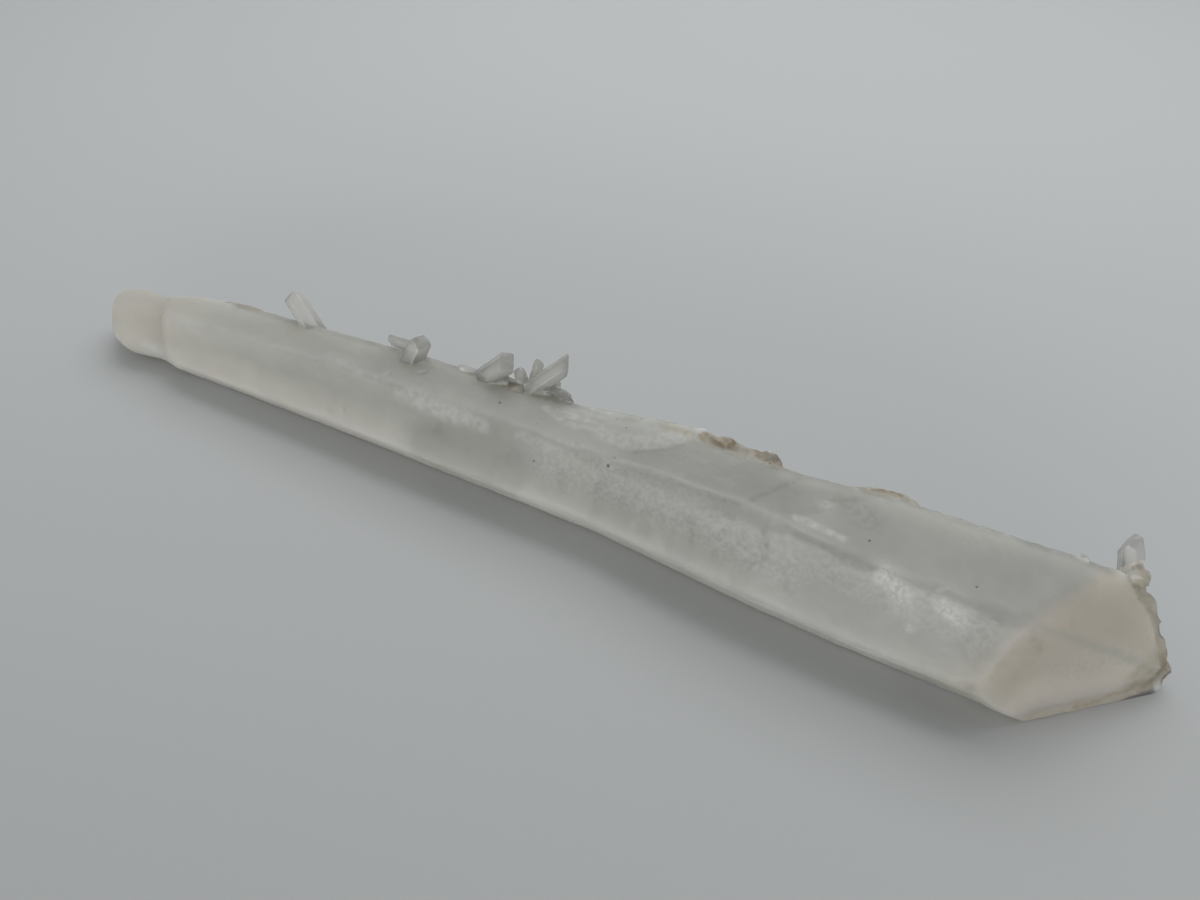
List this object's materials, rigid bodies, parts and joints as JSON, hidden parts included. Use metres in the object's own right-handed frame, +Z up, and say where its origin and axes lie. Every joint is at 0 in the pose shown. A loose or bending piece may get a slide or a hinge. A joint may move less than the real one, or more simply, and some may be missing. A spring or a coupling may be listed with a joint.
{
  "type": "quartz crystal",
  "caption": "Long tapered milky quartz crystal lying on a prism face, with a six-sided point, a stubby far end and small side crystals along its back edge.",
  "frame": {"origin": "centre of the bounding box at the surface the crystal lies on", "axes": "+X along the crystal towards its point, +Z up, -Y is the side with the wide sloping face; the small side crystals stand on the +Y edge of the top face"},
  "size_m": [0.2004, 0.0268, 0.0237],
  "materials": {
    "milky_quartz": "waxy, frosted, slightly translucent natural faces with a few rusty stains"
  },
  "bodies": {
    "root": {"quartz_crystal": "milky_quartz"}
  },
  "joints": []
}
